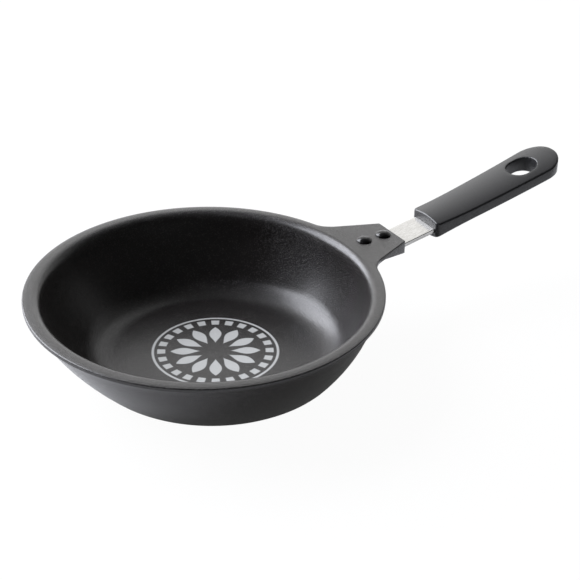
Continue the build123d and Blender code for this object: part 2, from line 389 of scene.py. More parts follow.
# %% [markdown]
# The outline is walked once around, from the middle of the lug's end, and each point keeps the
# direction that the edge faces there. The whole pan body is then one grid: every point of the
# outline is a column from the middle of the floor, up the inside, over the rim and down the
# outside to the middle of the base. A lug joined on by a Boolean would leave a seam of long thin
# faces, and this way it grows out of the rim as the casting's does.

# %% Outline of the rim and the lug
COLUMN_ANGLE = math.radians(1.4)
END_SHARES = (0, 0.3, 0.6, 0.85, 1)
CORNER_STEPS = 5
SIDE_STEPS = 12
ROOT_STEPS = 9


def arc_points(centre, radius, start, end, count, facing=1):
    """Points along an arc, each with the direction in which the outline faces there."""
    points = []
    for i in range(count + 1):
        angle = start + (end - start) * i / count
        spoke = Vector((math.cos(angle), math.sin(angle)))
        points.append((centre + spoke * radius, spoke * facing))
    return points


def mirrored(half):
    """The other half of an outline that starts and ends on the mirror plane."""
    return [(Vector((p.x, -p.y)), Vector((n.x, -n.y))) for p, n in half[-2:0:-1]]


forward = Vector((1, 0))
half = [(Vector((LUG_END, channel_corner.y * share)), forward) for share in END_SHARES]
skirt_first = len(half)
half.append((channel_corner, forward))
side_facing = math.pi / 2 - LUG_ANGLE
root_turn = (side_facing - math.pi, root_angle - math.pi)
corner = arc_points(corner_centre, CORNER_ROUND, 0, side_facing, CORNER_STEPS)
root = arc_points(root_centre, ROOT_ROUND, *root_turn, ROOT_STEPS, -1)
side_start, side_end = corner[-1][0], root[0][0]
half += corner
for i in range(1, SIDE_STEPS):
    half.append((side_start.lerp(side_end, i / SIDE_STEPS), side_normal))
half += root
steps = round((math.pi - root_angle) / COLUMN_ANGLE)
half += arc_points(rim_axis, RIM_RADIUS, root_angle, math.pi, steps)[1:]

outline = half + mirrored(half)
count = len(outline)
on_skirt = [skirt_first <= i <= count - skirt_first for i in range(count)]
column_angles = [math.atan2(p.y, p.x - RIM_X) for p, n in outline]
print("outline of", count, "points,", sum(on_skirt), "of them on the skirts and the rim")

# %% [markdown]
# A level ring of the grid is either one of the wall's circles or the outline drawn in by some
# distance. The first rings cross the floor and climb the inner wall.

# %% Rings of the floor and the inner wall
FLOOR_SHARES = (0.12, 0.3, 0.5, 0.7, 0.85)


def circle_ring(centre, radius, height):
    """One ring of the grid: a circle with its centre on the mirror plane."""
    spokes = [(math.cos(angle), math.sin(angle)) for angle in column_angles]
    return [Vector((centre + radius * x, radius * y, height)) for x, y in spokes]


rings = []
centre, radius = wall_circle(0, INSIDE)
for share in FLOOR_SHARES:
    rings.append(circle_ring(centre * share, radius * share, BASE_THICKNESS))
for height in wall_heights(INSIDE):
    rings.append(circle_ring(*wall_circle(height, INSIDE), BASE_THICKNESS + height))
print(len(rings), "rings up to the mouth")

# %% [markdown]
# The rim is flat on top, with a facet outside that is only 0.18 mm deep. It catches the backdrop
# as a thin pale line, which a plain rounding would not. On the lug it fades out.

# %% Rings over the rim
TOP_ROUND = 0.9
LUG_TOP_ROUND = 0.7
FACET_WIDTH = 1.8
FACET_DROP = 0.18
FACET_ON_LUG = 0.4
FACET_PROFILE = ((1.0, 0.0), (0.8, 0.06), (0.6, 0.24), (0.0, 1.0))
LUG_FADE = 4.0
TOP_STEPS = 6


def on_lug(point):
    """0 on the rim's circle and 1 on the lug, with a soft step between them."""
    share = ((point - rim_axis).length - RIM_RADIUS) / LUG_FADE
    share = min(max(share, 0), 1)
    return share * share * (3 - 2 * share)


def drawn_in(i, distance, height):
    """The outline's point moved inwards square to the edge."""
    point = outline[i][0] - outline[i][1] * distance
    return Vector((point.x, point.y, height))


lug_shares = [on_lug(point) for point, normal in outline]
top_rounds = [TOP_ROUND + (LUG_TOP_ROUND - TOP_ROUND) * share for share in lug_shares]
facet_widths = [FACET_WIDTH * (1 - (1 - FACET_ON_LUG) * share) for share in lug_shares]
facet_drops = [FACET_DROP * (1 - share) for share in lug_shares]
for width, drop in FACET_PROFILE:
    ring = []
    for i in range(count):
        inset = top_rounds[i] + facet_widths[i] * width
        ring.append(drawn_in(i, inset, PAN_HEIGHT - facet_drops[i] * drop))
    rings.append(ring)
for turn in turns(90, TOP_STEPS)[1:]:
    ring = []
    for i in range(count):
        top, radius = PAN_HEIGHT - facet_drops[i], top_rounds[i]
        height = top - (radius - facet_drops[i]) * (1 - math.cos(turn))
        ring.append(drawn_in(i, radius * (1 - math.sin(turn)), height))
    rings.append(ring)
print(len(rings), "rings with the rim's top and its outer edge")

# %% [markdown]
# Under the lug the columns step: down the skirts on its two sides, in along their underside, and
# up again to the seat that the steel strap lies under. Elsewhere the same rings make the rim's
# underside.

# %% Rings under the rim and the lug
UNDER_ROUND = 0.8
UNDER_STEPS = 4
LUG_THICKNESS = 4.8
SKIRT_LENGTH = 23.3
SKIRT_DEPTH = 9.2
LIP_INSET = 2.4
SEAT_INSET = 3.8
LUG_SEAT = PAN_HEIGHT - LUG_THICKNESS
RIM_UNDER = PAN_HEIGHT - RIM_EDGE
LIP_RADIUS = RIM_RADIUS - LIP_INSET
SEAT_RADIUS = RIM_RADIUS - SEAT_INSET


def side_bottom(i):
    """Height of the lower edge of the rim's or the lug's side at a column."""
    along_skirt = (outline[i][0].x - LUG_END + SKIRT_LENGTH) / SKIRT_LENGTH
    if along_skirt > 0 and on_skirt[i]:
        return RIM_UNDER - (SKIRT_DEPTH - RIM_EDGE) * along_skirt
    return RIM_UNDER if on_skirt[i] else LUG_SEAT


def seat_edge(i):
    """Where the skirt's or the rim's underside ends, and whether the seat begins there."""
    point = outline[i][0]
    if not on_skirt[i]:
        return point, True
    mirror = -1 if point.y < 0 else 1
    along = (Vector((point.x, point.y * mirror)) - channel_corner).dot(side_line)
    edge = channel_corner + side_line * max(along, 0)
    angle = column_angles[i]
    if (edge - rim_axis).length < SEAT_RADIUS or abs(angle) > root_angle:
        return rim_axis + Vector((math.cos(angle), math.sin(angle))) * LIP_RADIUS, False
    return Vector((edge.x, edge.y * mirror)), True


for turn in turns(90, UNDER_STEPS):
    inset, lift = UNDER_ROUND * (1 - math.cos(turn)), UNDER_ROUND * (1 - math.sin(turn))
    rings.append([drawn_in(i, inset, side_bottom(i) + lift) for i in range(count)])
edges = [seat_edge(i) for i in range(count)]
rings.append([Vector((*edge, side_bottom(i))) for i, (edge, seat) in enumerate(edges)])
rings.append([Vector((*edge, LUG_SEAT if seat else RIM_UNDER)) for edge, seat in edges])
ring = []
for edge, seat in edges:
    foot = rim_axis + (edge - rim_axis).normalized() * (SEAT_RADIUS if seat else LIP_RADIUS)
    ring.append(Vector((*foot, LUG_SEAT if seat else RIM_UNDER)))
rings.append(ring)
print(len(rings), "rings with the underside")

# %% [markdown]
# The last rings go down the outer wall and across the base, which has two shallow turned grooves.
# Such grooves let a base stand flat on a hob though its middle may be a little proud.

# %% Rings of the outer wall and the base
BASE_FLAT_INSET = 1.5
GROOVE_RADII = (56.0, 40.0)
GROOVE_HALF = 1.0
GROOVE_DEPTH = 0.5
GROOVE_PROFILE = ((1.0, 0.0), (0.5, 0.5), (0.0, 1.0), (-0.5, 0.5), (-1.0, 0.0))

for height in reversed(wall_heights(OUTSIDE)):
    rings.append(circle_ring(*wall_circle(height, OUTSIDE), height))
centre, radius = wall_circle(0, OUTSIDE)
rings.append(circle_ring(centre, radius - BASE_FLAT_INSET, 0))
for radius in GROOVE_RADII:
    for offset, depth in GROOVE_PROFILE:
        rings.append(circle_ring(0, radius + offset * GROOVE_HALF, depth * GROOVE_DEPTH))
rings.append(circle_ring(0, GROOVE_RADII[-1] / 2, 0))
print(len(rings), "rings of", count, "points in all")

# %% [markdown]
# Every mesh is finished in the same way: doubled points are merged, such as where a skirt has no
# width yet, all faces are turned outwards, and shading is smooth but for the sharp edges. A closed
# skin has two faces at every edge, so its open edges should print as 0.

# %% Finish a mesh
MERGE_GAP = 0.004
SMALLEST_EDGE = 0.002


def open_edges(mesh):
    """How many edges of a mesh don't have exactly two faces."""
    users = [0] * len(mesh.edges)
    for loop in mesh.loops:
        users[loop.edge_index] += 1
    return sum(1 for number in users if number != 2)


def finish_mesh(name, builder, sharp_degrees):
    """A mesh object of a bmesh: merged, faced outwards and smooth but for its sharp edges."""
    bmesh.ops.remove_doubles(builder, verts=builder.verts, dist=mm(MERGE_GAP))
    bmesh.ops.dissolve_degenerate(builder, edges=builder.edges, dist=mm(SMALLEST_EDGE))
    bmesh.ops.recalc_face_normals(builder, faces=builder.faces)
    mesh = bpy.data.meshes.new(name)
    builder.to_mesh(mesh)
    builder.free()
    mesh.polygons.foreach_set("use_smooth", [True] * len(mesh.polygons))
    mesh.set_sharp_from_angle(angle=math.radians(sharp_degrees))
    piece = bpy.data.objects.new(name, mesh)
    scene.collection.objects.link(piece)
    print(name, len(mesh.polygons), "faces,", open_edges(mesh), "open edges")
    return piece


print("points nearer than", MERGE_GAP, "mm are merged")

# %% [markdown]
# The rings are joined into one closed skin. Two poles close it, in the middle of the floor and of
# the base.

# %% Pan body
PAN_SHARP = 40


def skin(builder, rings):
    """Joins each ring of points to the next with faces, and returns the rings' vertices."""
    grid = [[builder.verts.new(point * MM) for point in ring] for ring in rings]
    n = len(grid[0])
    for inner, outer in zip(grid, grid[1:]):
        for i in range(n):
            j = (i + 1) % n
            builder.faces.new((inner[i], outer[i], outer[j], inner[j]))
    return grid


builder = bmesh.new()
grid = skin(builder, rings)
floor_pole = builder.verts.new(mm(0, 0, BASE_THICKNESS))
base_pole = builder.verts.new((0, 0, 0))
for i in range(count):
    j = (i + 1) % count
    builder.faces.new((floor_pole, grid[0][i], grid[0][j]))
    builder.faces.new((base_pole, grid[-1][j], grid[-1][i]))
pan_piece = finish_mesh("coated_pan_body", builder, PAN_SHARP)

# %% [markdown]
# ## Strap and grip
#
# Both are flat pieces with a shaped outline and holes, thicker or thinner from place to place. An
# extruded curve would give the outline but no crown, and a subdivided cage would draw the holes
# only roughly. So one function makes such a piece: rings follow the outline over the edges above
# and below, which may be rounded by different radii.

# %% Rings over the edges of a flat piece
EDGE_STEPS = 5


def edge_ring(outline, face, radius, turn, side):
    """The ring at which an edge's rounding has turned so far from its broad face.

    face gives that face's height at x and y, and side is 1 for the upper one, -1 for the lower.
    """
    ring = []
    for point, normal in outline:
        spot = point - normal * radius * (1 - math.sin(turn))
        inner = point - normal * radius
        height = (face(*spot) + face(*inner)) / 2
        ring.append(Vector((*spot, height - side * radius * (1 - math.cos(turn)))))
    return ring


def edge_rings(outline, faces, rounds):
    """Rings over an outline's edges, from the upper face to the lower one."""
    upper, lower = (
        [edge_ring(outline, face, radius, turn, side) for turn in turns(90, EDGE_STEPS)]
        for face, radius, side in zip(faces, rounds, (1, -1))
    )
    return upper + lower[::-1]


print(2 * (EDGE_STEPS + 1), "rings over the edges")

# %% [markdown]
# A triangulation then fills the two broad faces between the outline and the holes. It gets points
# on a lattice as well, close enough to take the curve of the face, and none so near to an edge
# that it would make slivers.

# %% Points that fill a plan
CLEAR_SHARE = 0.6


def inside_loop(point, loop):
    """Whether a point of the plan lies inside a closed loop."""
    crossings = False
    for a, b in zip(loop, loop[1:] + loop[:1]):
        if (a.y > point.y) != (b.y > point.y):
            if point.x < a.x + (b.x - a.x) * (point.y - a.y) / (b.y - a.y):
                crossings = not crossings
    return crossings


def filling(loops, spacing):
    """Lattice points inside the first loop, outside the others and clear of them all."""
    outer, holes = loops[0], loops[1:]
    low_x, low_y = min(p.x for p in outer), min(p.y for p in outer)
    width, depth = max(p.x for p in outer) - low_x, max(p.y for p in outer) - low_y
    columns, rows = math.ceil(width / spacing), math.ceil(depth / spacing)
    spots = []
    for i in range(1, columns):
        for j in range(1, rows):
            spot = Vector((low_x + width * i / columns, low_y + depth * j / rows))
            if not inside_loop(spot, outer) or any(inside_loop(spot, hole) for hole in holes):
                continue
            if all((spot - p).length > spacing * CLEAR_SHARE for loop in loops for p in loop):
                spots.append(spot)
    return spots


print("lattice points keep", CLEAR_SHARE, "of their spacing away from every edge")

# %% [markdown]
# The function takes the outline, the holes with their edges' rounding, a height function for each
# broad face, and the roundings of the edges above and below.

# %% A piece with a plan and a thickness
SAME_POINT = 1e-5


def plan_piece(name, outer, holes, faces, rounds, spacing, sharp_degrees):
    """A closed mesh with this outline and these holes, its two faces at the given heights."""
    builder = bmesh.new()
    sets = [edge_rings(outer, faces, rounds)]
    sets += [edge_rings(hole, faces, (hole_round, hole_round)) for hole, hole_round in holes]
    grids = [skin(builder, rings) for rings in sets]
    for end, face in zip((0, -1), faces):
        loops = [[Vector(point[:2]) for point in rings[end]] for rings in sets]
        inner = filling(loops, spacing)
        verts = [vert for grid in grids for vert in grid[end]]
        verts += [builder.verts.new(Vector((*spot, face(*spot))) * MM) for spot in inner]
        spots, edges = [], []
        for loop in loops:
            first, n = len(spots), len(loop)
            edges += [(first + i, first + (i + 1) % n) for i in range(n)]
            spots += loop
        # The last but one argument keeps only the faces inside the outer loop
        result = geometry.delaunay_2d_cdt(spots + inner, edges, [], 1, SAME_POINT)
        found, triangles, sources = result[0], result[2], result[3]
        for corners in triangles:
            middle = sum((found[i] for i in corners), Vector((0, 0))) / len(corners)
            if not any(inside_loop(middle, hole) for hole in loops[1:]):
                builder.faces.new([verts[sources[i][0]] for i in corners])
    return finish_mesh(name, builder, sharp_degrees)


print("points nearer than", SAME_POINT, "mm count as one in the triangulation")

# %% [markdown]
# The strap is a flat bar of stainless steel, bent once just outside the lug so that it climbs into
# the grip. Its height is a function of the place along the pan, because the grip, its pocket and
# the screw all follow it.

# %% How the strap climbs
STRAP_THICKNESS = 2.8
STRAP_SHOW = 26.5
STRAP_IN_GRIP = 40.5
RISE = math.radians(9.5)
BEND_RADIUS = 12.0
BEND_GAP = 0.2
GRIP_START = LUG_END + STRAP_SHOW
STRAP_END = GRIP_START + STRAP_IN_GRIP
bend_half = BEND_RADIUS * math.tan(RISE / 2)
bend_x = LUG_END + BEND_GAP + bend_half
strap_middle = LUG_SEAT - STRAP_THICKNESS / 2


def strap_height(x):
    """Height of the strap's middle: level, then one bend, then a steady climb."""
    start = bend_x - bend_half
    end = bend_x + bend_half * math.cos(RISE)
    if x <= start:
        return strap_middle
    if x < end:
        return strap_middle + BEND_RADIUS - math.sqrt(BEND_RADIUS**2 - (x - start) ** 2)
    return strap_middle + (x - bend_x) * math.tan(RISE)


def strap_face(side):
    """Height function of the strap's upper (1) or lower (-1) face."""

    def face(x, y):
        upright = STRAP_THICKNESS / 2 / (math.cos(RISE) if x > bend_x else 1)
        return strap_height(x) + side * upright

    return face


print("strap climbs", round(strap_height(STRAP_END) - strap_middle, 1), "mm to its hidden end")

# %% [markdown]
# Its plan is a long rectangle with round corners, and the grip's is one that widens, so one
# function makes both. The edges are only just broken, as a stamped and polished bar's are.

# %% Steel strap
STRAP_WIDTH = 21.0
STRAP_SEAT = 28.5
STRAP_CORNER = 4.0
STRAP_EDGE = 0.4
STRAP_CORNER_STEPS = 8
STRAP_STEP = 1.0
STRAP_SPACING = 1.5
STRAP_SHARP = 30
RIVET_RADIUS = 2.5
RIVET_PITCH = 15.0
RIVET_INSET = 7.5
RIVET_XS = (LUG_END - RIVET_INSET - RIVET_PITCH, LUG_END - RIVET_INSET)
SCREW_INSET = 20.0
SCREW_X = GRIP_START + SCREW_INSET
SCREW_RADIUS = 2.0
CLEARANCE = 0.05
HOLE_EDGE = 0.1
HOLE_STEPS = 48
TIP_SHARES = (0, 0.5)
MOUTH_SHARES = (0.75, 0.5, 0.25, 0)


def rounded_box(low_x, high_x, half_near, half_far, near_round, far_round, steps, spacing):
    """Outline of a four-sided plan that widens from half_near to half_far, with round corners."""
    spread = math.atan2(half_far - half_near, high_x - low_x)
    facing = math.pi / 2 + spread
    near_y = half_near + near_round * math.tan(spread) - near_round / math.cos(spread)
    far_y = half_far - far_round * math.tan(spread) - far_round / math.cos(spread)
    far = arc_points(Vector((high_x - far_round, far_y)), far_round, 0, facing, steps)
    near = arc_points(Vector((low_x + near_round, near_y)), near_round, facing, math.pi, steps)
    start, end, normal = far[-1][0], near[0][0], far[-1][1]
    run = max(round((start - end).length / spacing), 1)
    side = [(start.lerp(end, i / run), normal) for i in range(1, run)]
    tip = [(Vector((high_x, far_y * share)), Vector((1, 0))) for share in TIP_SHARES]
    mouth = [(Vector((low_x, near_y * share)), Vector((-1, 0))) for share in MOUTH_SHARES]
    half = tip + far + side + near + mouth
    return half + mirrored(half)


def round_hole(x, radius):
    """Outline of a round hole, facing its own middle."""
    return arc_points(Vector((x, 0)), radius, 0, 2 * math.pi, HOLE_STEPS, -1)[:-1]


strap_half = STRAP_WIDTH / 2
strap_size = (LUG_END - STRAP_SEAT, STRAP_END, strap_half, strap_half)
strap_corners = (STRAP_CORNER, STRAP_CORNER, STRAP_CORNER_STEPS)
strap_plan = rounded_box(*strap_size, *strap_corners, STRAP_STEP)
strap_holes = [(round_hole(x, RIVET_RADIUS + CLEARANCE), HOLE_EDGE) for x in RIVET_XS]
strap_holes.append((round_hole(SCREW_X, SCREW_RADIUS + CLEARANCE), HOLE_EDGE))
strap_faces, strap_edges = (strap_face(1), strap_face(-1)), (STRAP_EDGE, STRAP_EDGE)
strap = plan_piece(
    "steel_strap", strap_plan, strap_holes, strap_faces, strap_edges, STRAP_SPACING, STRAP_SHARP
)

# %% [markdown]
# The grip is moulded in one piece: slightly crowned above, fuller below, broader towards its round
# end and a little deeper at its mouth. Its two faces are written as heights over the plan, so the
# crown runs right up to the edges and to the hang hole.

# %% The grip's faces
GRIP_LENGTH = 107.0
GRIP_END = GRIP_START + GRIP_LENGTH
GRIP_NEAR_HALF = 13.8
GRIP_FAR_HALF = 17.2
GRIP_LIFT = 4.8
NEAR_SLOPE = math.tan(math.radians(10.4))
FAR_SLOPE = math.tan(math.radians(14.2))
SIDE_HEIGHT = 7.2
GRIP_CROWN = 2.0
GRIP_BELLY = 2.2
MOUTH_LENGTH = 33.0
MOUTH_LIFT = 0.9
MOUTH_DROP = 1.5


def grip_edge(x):
    """Height of the grip's upper side edge, which climbs ever more steeply from the mouth."""
    s = x - GRIP_START
    climb = s * (NEAR_SLOPE + (FAR_SLOPE - NEAR_SLOPE) * s / (2 * GRIP_LENGTH))
    return strap_height(GRIP_START) + GRIP_LIFT + climb + MOUTH_LIFT * near_mouth(x)


def near_mouth(x):
    """1 at the grip's mouth, falling to 0 further in."""
    return max(0, 1 - (x - GRIP_START) / MOUTH_LENGTH) ** 2


def grip_half(x):
    """Half the grip's width."""
    return GRIP_NEAR_HALF + (GRIP_FAR_HALF - GRIP_NEAR_HALF) * (x - GRIP_START) / GRIP_LENGTH


def bow(rise, half_width, y):
    """Height at y of a round bow that rises by rise between +-half_width."""
    radius = (half_width**2 + rise**2) / (2 * rise)
    return math.sqrt(radius**2 - y**2) - radius + rise


def grip_top(x, y):
    """Height of the grip's upper face."""
    return grip_edge(x) + bow(GRIP_CROWN, grip_half(x), y)


def grip_under(x, y):
    """Height of the grip's lower face, which lies deeper at the mouth."""
    drop = SIDE_HEIGHT + (MOUTH_LIFT + MOUTH_DROP) * near_mouth(x)
    return grip_edge(x) - drop - bow(GRIP_BELLY, grip_half(x), y)


for x in (GRIP_START, GRIP_END):
    print("grip at x", round(x, 1), "is", round(grip_top(x, 0) - grip_under(x, 0), 1), "mm thick")

# %% [markdown]
# The hang hole is a slot with round ends, so its outline is two half circles. Its edge is rounded
# like the grip's own, because a mould leaves no sharp edge that a hand would feel.

# %% Grip
HOLE_INSET = 26.7
HOLE_X = GRIP_END - HOLE_INSET
HOLE_HALF_LENGTH = 10.7
HOLE_HALF_WIDTH = 9.0
HOLE_ROUND = 0.9
HOLE_END_STEPS = 24
GRIP_NEAR_ROUND = 3.0
GRIP_FAR_ROUND = 15.8
GRIP_CORNER_STEPS = 20
GRIP_STEP = 1.6
GRIP_SPACING = 2.0
GRIP_EDGES = (1.2, 1.0)
GRIP_SHARP = 40

hole = []
for side in (1, -1):
    middle = Vector((HOLE_X + side * (HOLE_HALF_LENGTH - HOLE_HALF_WIDTH), 0))
    start, end = -side * math.pi / 2, (1 - side / 2) * math.pi
    hole += arc_points(middle, HOLE_HALF_WIDTH, start, end, HOLE_END_STEPS, -1)
grip_size = (GRIP_START, GRIP_END, GRIP_NEAR_HALF, GRIP_FAR_HALF)
grip_corners = (GRIP_NEAR_ROUND, GRIP_FAR_ROUND, GRIP_CORNER_STEPS)
grip_plan = rounded_box(*grip_size, *grip_corners, GRIP_STEP)
grip_faces, grip_holes = (grip_top, grip_under), [(hole, HOLE_ROUND)]
grip = plan_piece(
    "moulded_grip", grip_plan, grip_holes, grip_faces, GRIP_EDGES, GRIP_SPACING, GRIP_SHARP
)

# %% [markdown]
# The strap's pocket and the screw's counterbore are cut out of the finished form, as cores leave
# them in a moulding. They are plain boxes and cylinders, which a Boolean cuts cleanly.

# %% Cores of the grip
POCKET_GAP = 0.15
CORE_OVERRUN = 4.0
SCREW_ROOM = 0.3
SCREW_HEAD_RADIUS = 3.5
SCREW_FLOOR = 1.4
CORE_FEET = (-9.0, -12.0)
CORE_STEPS = 48
CORE_SHARP = 30


def evaluated_mesh(piece):
    """A plain mesh of what an object's modifiers make."""
    depsgraph = bpy.context.evaluated_depsgraph_get()
    return bpy.data.meshes.new_from_object(piece.evaluated_get(depsgraph))


def cut(piece, cutter):
    """Cuts one closed mesh out of another for good."""
    modifier = piece.modifiers.new("cut", "BOOLEAN")
    modifier.object = cutter
    modifier.solver = "EXACT"
    piece.data = evaluated_mesh(piece)
    piece.modifiers.clear()
    bpy.data.objects.remove(cutter)


def on_strap(x):
    """Takes a form from the origin to the strap's middle at x, tilted as the strap is."""
    return Matrix.Translation(mm(x, 0, strap_height(x))) @ Matrix.Rotation(-RISE, 4, "Y")


length = (STRAP_END + POCKET_GAP - GRIP_START + CORE_OVERRUN) / math.cos(RISE)
middle_x = GRIP_START - CORE_OVERRUN + length * math.cos(RISE) / 2
pocket_size = mm(length, STRAP_WIDTH + 2 * POCKET_GAP, STRAP_THICKNESS + 2 * POCKET_GAP)
builder = bmesh.new()
bmesh.ops.create_cube(builder, size=1)
builder.transform(on_strap(middle_x) @ Matrix.Diagonal((*pocket_size, 1)))
cut(grip, finish_mesh("pocket_core", builder, CORE_SHARP))

head_seat = -STRAP_THICKNESS / 2 - POCKET_GAP - SCREW_FLOOR
for radius, foot, top in zip((SCREW_RADIUS, SCREW_HEAD_RADIUS), CORE_FEET, (0.0, head_seat)):
    builder = bmesh.new()
    core = {"radius1": mm(radius + SCREW_ROOM), "radius2": mm(radius + SCREW_ROOM)}
    core |= {"depth": mm(top - foot), "segments": CORE_STEPS, "cap_ends": True}
    bmesh.ops.create_cone(builder, **core)
    builder.transform(on_strap(SCREW_X) @ Matrix.Translation(mm(0, 0, (foot + top) / 2)))
    cut(grip, finish_mesh("screw_core", builder, CORE_SHARP))
grip.data.set_sharp_from_angle(angle=math.radians(GRIP_SHARP))
print("grip has", len(grip.data.polygons), "faces,", open_edges(grip.data), "open edges")

# %% [markdown]
# ## Rivets
#
# Two rivets hold the strap. They are alike, with a low dome above the lug and a set head under the
# strap, so one is turned on a lathe: its half profile is spun round the upright axis.

# %% One rivet
HEAD_RADIUS = 5.0
HEAD_LAND = 0.7
HEAD_DOME = 1.8
DOME_STEPS = 12
TAIL_RADIUS = 4.2
TAIL_HEIGHT = 1.5
TAIL_EDGE = 0.4
LATHE_STEPS = 64
RIVET_SHARP = 30
strap_under = strap_middle - STRAP_THICKNESS / 2
tail_under = strap_under - TAIL_HEIGHT

profile = []
for turn in turns(90, DOME_STEPS):
    y = HEAD_RADIUS * math.sin(turn)
    profile.append((y, PAN_HEIGHT + HEAD_LAND + bow(HEAD_DOME, HEAD_RADIUS, y)))
profile += [
    (HEAD_RADIUS, PAN_HEIGHT),
    (RIVET_RADIUS, PAN_HEIGHT),
    (RIVET_RADIUS, strap_under),
    (TAIL_RADIUS, strap_under),
    (TAIL_RADIUS, tail_under + TAIL_EDGE),
    (TAIL_RADIUS - TAIL_EDGE, tail_under),
    (0, tail_under),
]
builder = bmesh.new()
verts = [builder.verts.new(mm(y, 0, z)) for y, z in profile]
line = [builder.edges.new(pair) for pair in zip(verts, verts[1:])]
lathe = {"axis": (0, 0, 1), "cent": (0, 0, 0), "angle": 2 * math.pi, "steps": LATHE_STEPS}
bmesh.ops.spin(builder, geom=verts + line, **lathe)
rivet = finish_mesh("one_rivet", builder, RIVET_SHARP)

# %% [markdown]
# Geometry Nodes then set it out in a row, with the number and the pitch as inputs. For two rivets
# a copy by hand would do, but a larger pan's strap has more, and here that is one number. The tree
# is run further on, when the rivets' finish exists.

# %% Tree that sets rivets out in a row
tree = bpy.data.node_groups.new("rivet_row", "GeometryNodeTree")
sockets = {}
for name, kind in (
    ("Rivet", "NodeSocketObject"),
    ("Number", "NodeSocketInt"),
    ("Pitch", "NodeSocketFloat"),
    ("Finish", "NodeSocketMaterial"),
):
    sockets[name] = tree.interface.new_socket(name, in_out="INPUT", socket_type=kind).identifier
tree.interface.new_socket("Row", in_out="OUTPUT", socket_type="NodeSocketGeometry")
given = add(tree, "NodeGroupInput").outputs
step = add(tree, "ShaderNodeCombineXYZ", X=given["Pitch"])
row = add(tree, "GeometryNodeMeshLine", Count=given["Number"], Offset=step)
one = add(tree, "GeometryNodeObjectInfo", Object=given["Rivet"]).outputs["Geometry"]
placed = add(tree, "GeometryNodeInstanceOnPoints", Points=row, Instance=one)
real = add(tree, "GeometryNodeRealizeInstances", Geometry=placed)
black = add(tree, "GeometryNodeSetMaterial", Geometry=real, Material=given["Finish"])
add(tree, "NodeGroupOutput", _0=black)
print("rivet row takes", ", ".join(sockets))

# %% [markdown]
# ## Materials
#
# Each is named for the real thing, and its numbers follow from how that is made. One black for
# every piece would be simpler, but the eye tells lacquer, enamel and resin apart by their gloss
# and grain. Patterns are measured in millimetres on Object coordinates, so they stay on the pan at
# their real size. The photograph shows 0.6 mm to a pixel, so a pattern finer than that is drawn
# about that coarse.

# %% Tools for patterns
NOISE_RANGE = (0.3, 0.7)


def millimetres(tree):
    """Object coordinates, in millimetres."""
    where = add(tree, "ShaderNodeTexCoord").outputs["Object"]
    return add(tree, "ShaderNodeVectorMath", {"operation": "SCALE"}, _0=where, Scale=1 / MM)


def band(tree, value, low, high, soft):
    """1 where a value lies between low and high, with soft edges, and 0 elsewhere."""
    up = add(tree, "ShaderNodeMapRange", Value=value, _1=low - soft, _2=low + soft)
    down = add(
        tree, "ShaderNodeMapRange", Value=value, _1=high - soft, _2=high + soft, _3=1.0, _4=0.0
    )
    return add(tree, "ShaderNodeMath", TIMES, _0=up, _1=down)


def grain_and_gloss(tree, where, size, detail, smooth, rough):
    """A noise of a size in mm, and a roughness that follows it from smooth to rough."""
    grain = add(tree, "ShaderNodeTexNoise", Vector=where, Scale=1 / size, Detail=detail)
    low, high = NOISE_RANGE
    gloss = add(tree, "ShaderNodeMapRange", Value=grain, _1=low, _2=high, _3=smooth, _4=rough)
    return grain, gloss


print("patterns are in millimetres, and a noise lies mostly within", NOISE_RANGE)

# %% [markdown]
# The print on the floor is a rosette in one light grey: a wreath of leaves, a ring of short bars
# round it and a thin line outside. Ink has no thickness to show, so it is no mesh but a field of
# the radius and the angle about its middle.

# %% Spokes of the print
PRINT_EDGE = 0.3


def spokes(tree, turn, radius, number, width):
    """How far inside one of a number of equal sectors a point lies, from 0 to 1.

    turn is the angle in whole turns, and width half the share of the sector that is filled.
    """
    sectors = add(tree, "ShaderNodeMath", TIMES, _0=turn, _1=number)
    # PINGPONG runs from 0 on a spoke to 0.5 half-way to the next, so half the width is compared
    wave = add(tree, "ShaderNodeMath", {"operation": "PINGPONG"}, _0=sectors, _1=0.5)
    settings = {"operation": "MULTIPLY_ADD"}
    gap = add(tree, "ShaderNodeMath", settings, _0=wave, _1=-1.0, _2=width)
    arc = add(tree, "ShaderNodeMath", TIMES, _0=gap, _1=radius)
    sector = 2 * math.pi / number
    inside = add(tree, "ShaderNodeMath", TIMES, _0=arc, _1=sector)
    return add(tree, "ShaderNodeMapRange", Value=inside, _1=0.0, _2=2 * PRINT_EDGE)


print("print has edges", PRINT_EDGE, "mm soft")

# %% [markdown]
# A leaf is a spoke whose width swells as a sine along it, and a bar is a spoke of even width, kept
# to a narrow band of radii. The print is only on the floor's own height, or the base's outside
# would have it too.

# %% Rosette
PRINT_MIDDLE = (0.9, 2.2, 0)
LEAVES = 12
LEAF_RADII = (9.0, 28.5)
LEAF_WIDTH = 0.8
BARS = 24
BAR_RADII = (31.5, 36.5)
BAR_WIDTH = 0.62
RING_RADII = (38.5, 40.0)
PRINT_BELOW = 0.5
PRINT_ABOVE = 0.15
FLOOR_BAND = (BASE_THICKNESS - PRINT_BELOW, BASE_THICKNESS + PRINT_ABOVE)
FLOOR_EDGE = 0.05


